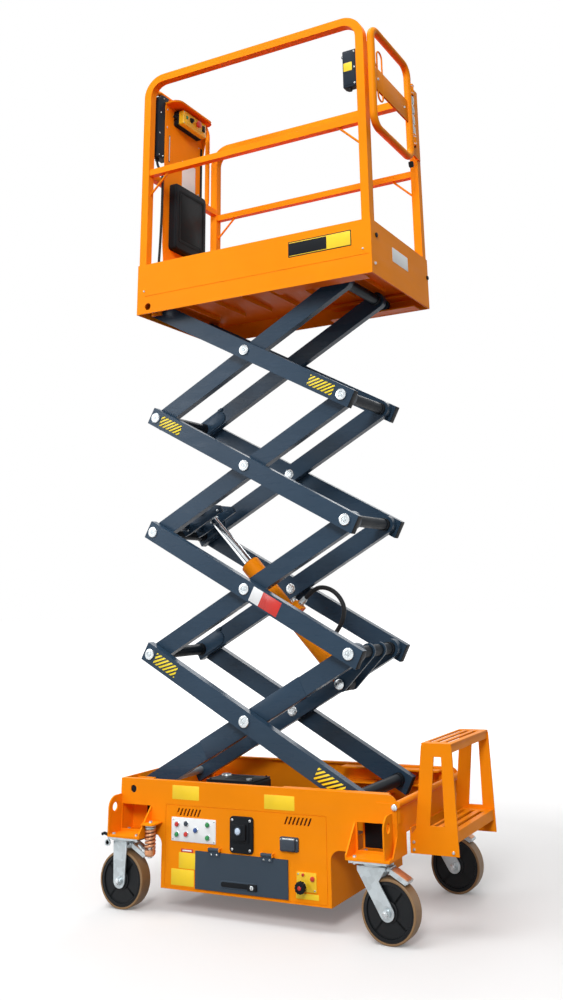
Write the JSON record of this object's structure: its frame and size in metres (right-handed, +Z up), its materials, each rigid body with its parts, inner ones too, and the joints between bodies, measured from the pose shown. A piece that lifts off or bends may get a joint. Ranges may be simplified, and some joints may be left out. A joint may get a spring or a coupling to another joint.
{
  "type": "aerial work platform",
  "caption": "Push-around scissor lift: a wheeled orange chassis with side controls, crossed grey arms shown part raised, and a guarded work platform with a gate.",
  "frame": {"origin": "on the floor, under the middle of the overall box", "axes": "+X along the chassis towards the ladder and gate, +Y across it away from the control side, +Z up"},
  "size_m": [1.425, 0.77, 3.551],
  "materials": {
    "orange": "gloss",
    "slate": "satin",
    "door": "satin",
    "zinc": "satin",
    "chrome": "polished",
    "plate": "matte",
    "dark": "matte",
    "grey": "matte",
    "yellow": "gloss",
    "tread": "satin"
  },
  "bodies": {
    "chassis": {"chassis_frame": "orange", "battery_tray": "orange", "control_plate": "plate", "isolator_switch": "dark", "power_inlet": "grey", "lowering_knob": "yellow", "access_ladder": "orange", "battery_pack": "dark", "hydraulic_tank": "dark", "pump_unit": "grey", "pivot_shaft": "zinc", "caster_plates": "zinc", "rigid_fork_near": "zinc", "rigid_fork_far": "zinc"},
    "battery_door": {"battery_door": "door"},
    "swivel_near": {"swivel_fork_near": "zinc"},
    "swivel_far": {"swivel_fork_far": "zinc"},
    "wheel_left_near": {"tyre_left_near": "tread", "core_left_near": "dark"},
    "wheel_left_far": {"tyre_left_far": "tread", "core_left_far": "dark"},
    "wheel_right_near": {"tyre_right_near": "tread", "core_right_near": "dark"},
    "wheel_right_far": {"tyre_right_far": "tread", "core_right_far": "dark"},
    "inner_1": {"inner_frame_1": "slate"},
    "outer_1": {"outer_frame_1": "slate"},
    "inner_2": {"inner_frame_2": "slate"},
    "outer_2": {"outer_frame_2": "slate"},
    "inner_3": {"inner_frame_3": "slate"},
    "outer_3": {"outer_frame_3": "slate"},
    "inner_4": {"inner_frame_4": "slate"},
    "outer_4": {"outer_frame_4": "slate"},
    "barrel": {"cylinder_barrel": "orange", "hydraulic_hose": "dark"},
    "rod": {"cylinder_rod": "chrome"},
    "platform": {"platform_deck": "orange", "toe_boards": "orange", "rail_near": "orange", "rail_far": "orange", "end_frame": "orange", "panel_hood": "orange", "control_box": "yellow", "document_box": "dark", "junction_box": "grey", "outlet_box": "grey", "control_cable": "dark"},
    "gate": {"gate": "orange"}
  },
  "joints": [
    {"name": "lift", "type": "hinge", "parent": "chassis", "child": "inner_1", "pos_m": [-0.5925, 0, 0.413], "axis": [0, -1, 0], "range_deg": [-23.8, 21.7]},
    {"name": "cross_1", "type": "hinge", "parent": "inner_1", "child": "outer_1", "pos_m": [-0.13377, 0, 0.66], "axis": [0, -1, 0], "range_deg": [-44.9, 49.1]},
    {"name": "knee_1", "type": "hinge", "parent": "outer_1", "child": "inner_2", "pos_m": [-0.5925, 0, 0.907], "axis": [0, -1, 0], "range_deg": [-49.1, 44.9]},
    {"name": "cross_2", "type": "hinge", "parent": "inner_2", "child": "outer_2", "pos_m": [-0.13377, 0, 1.154], "axis": [0, -1, 0], "range_deg": [-44.9, 49.1]},
    {"name": "knee_2", "type": "hinge", "parent": "outer_2", "child": "inner_3", "pos_m": [-0.5925, 0, 1.401], "axis": [0, -1, 0], "range_deg": [-49.1, 44.9]},
    {"name": "cross_3", "type": "hinge", "parent": "inner_3", "child": "outer_3", "pos_m": [-0.13377, 0, 1.648], "axis": [0, -1, 0], "range_deg": [-44.9, 49.1]},
    {"name": "knee_3", "type": "hinge", "parent": "outer_3", "child": "inner_4", "pos_m": [-0.5925, 0, 1.895], "axis": [0, -1, 0], "range_deg": [-49.1, 44.9]},
    {"name": "cross_4", "type": "hinge", "parent": "inner_4", "child": "outer_4", "pos_m": [-0.13377, 0, 2.142], "axis": [0, -1, 0], "range_deg": [-44.9, 49.1]},
    {"name": "platform_level", "type": "hinge", "parent": "outer_4", "child": "platform", "pos_m": [-0.5925, 0, 2.389], "axis": [0, -1, 0], "range_deg": [-25.3, 23.2]},
    {"name": "cylinder_swing", "type": "hinge", "parent": "inner_1", "child": "barrel", "pos_m": [0.20067, 0, 0.78556], "axis": [0, -1, 0], "range_deg": [-45.98, 50.29]},
    {"name": "cylinder_stroke", "type": "slide", "parent": "barrel", "child": "rod", "axis": [-0.6858, 0, 0.7278], "range_m": [-0.24669, 0.22599]},
    {"name": "gate_hinge", "type": "hinge", "parent": "platform", "child": "gate", "pos_m": [0.5435, 0.162, 3.24], "axis": [0, 0, 1], "range_deg": [0, 100]},
    {"name": "door_hinge", "type": "hinge", "parent": "chassis", "child": "battery_door", "pos_m": [-0.0945, -0.317, 0.228], "axis": [-1, 0, 0], "range_deg": [0, 110]},
    {"name": "swivel_near_turn", "type": "hinge", "parent": "chassis", "child": "swivel_near", "pos_m": [0.4495, -0.318, 0.2], "axis": [0, 0, 1], "continuous": true},
    {"name": "wheel_left_near_spin", "type": "hinge", "parent": "chassis", "child": "wheel_left_near", "pos_m": [-0.6125, -0.318, 0.1], "axis": [0, 1, 0], "continuous": true},
    {"name": "wheel_right_near_spin", "type": "hinge", "parent": "swivel_near", "child": "wheel_right_near", "pos_m": [0.5035, -0.318, 0.1], "axis": [0, 1, 0], "continuous": true},
    {"name": "swivel_far_turn", "type": "hinge", "parent": "chassis", "child": "swivel_far", "pos_m": [0.4495, 0.318, 0.2], "axis": [0, 0, 1], "continuous": true},
    {"name": "wheel_left_far_spin", "type": "hinge", "parent": "chassis", "child": "wheel_left_far", "pos_m": [-0.6125, 0.318, 0.1], "axis": [0, 1, 0], "continuous": true},
    {"name": "wheel_right_far_spin", "type": "hinge", "parent": "swivel_far", "child": "wheel_right_far", "pos_m": [0.5035, 0.318, 0.1], "axis": [0, 1, 0], "continuous": true}
  ],
  "couplings": [
    {"joint": "cross_1", "follows": "lift", "ratio": -2},
    {"joint": "knee_1", "follows": "lift", "ratio": 2},
    {"joint": "cross_2", "follows": "lift", "ratio": -2},
    {"joint": "knee_2", "follows": "lift", "ratio": 2},
    {"joint": "cross_3", "follows": "lift", "ratio": -2},
    {"joint": "knee_3", "follows": "lift", "ratio": 2},
    {"joint": "cross_4", "follows": "lift", "ratio": -2},
    {"joint": "platform_level", "follows": "lift", "ratio": 1},
    {"joint": "cylinder_swing", "follows": "lift", "ratio": -2.05},
    {"joint": "cylinder_stroke", "follows": "lift", "m_per_rad": 0.565}
  ]
}
